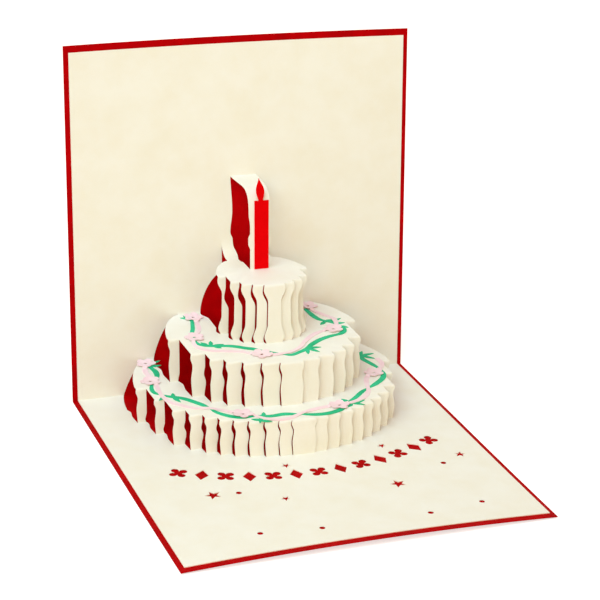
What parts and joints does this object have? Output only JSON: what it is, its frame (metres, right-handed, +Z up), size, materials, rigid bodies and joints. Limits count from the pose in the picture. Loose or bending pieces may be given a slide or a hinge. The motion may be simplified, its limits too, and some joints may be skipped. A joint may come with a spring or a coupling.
{
  "type": "pop up card",
  "caption": "Open square pop up card: red folded cover lined with a cream sheet cut and folded into a tiered cake of upright strips, with paper garlands and a red candle.",
  "frame": {"origin": "middle of the card's bounding box, on the surface that the base panel lies on", "axes": "+X across the card to the right, +Y from the open front edge to the standing back panel, +Z up"},
  "size_m": [0.1508, 0.1664, 0.15],
  "materials": {
    "red_card": "satin",
    "cream_paper": "satin",
    "bright_red_paper": "matte",
    "green_paper": "matte",
    "pink_paper": "matte"
  },
  "bodies": {
    "root": {"cover_card": "red_card", "cake_sheet": "cream_paper", "candle": "bright_red_paper", "lower_green_garland": "green_paper", "lower_pink_garland": "pink_paper", "upper_green_garland": "green_paper", "upper_pink_garland": "pink_paper"}
  },
  "joints": []
}
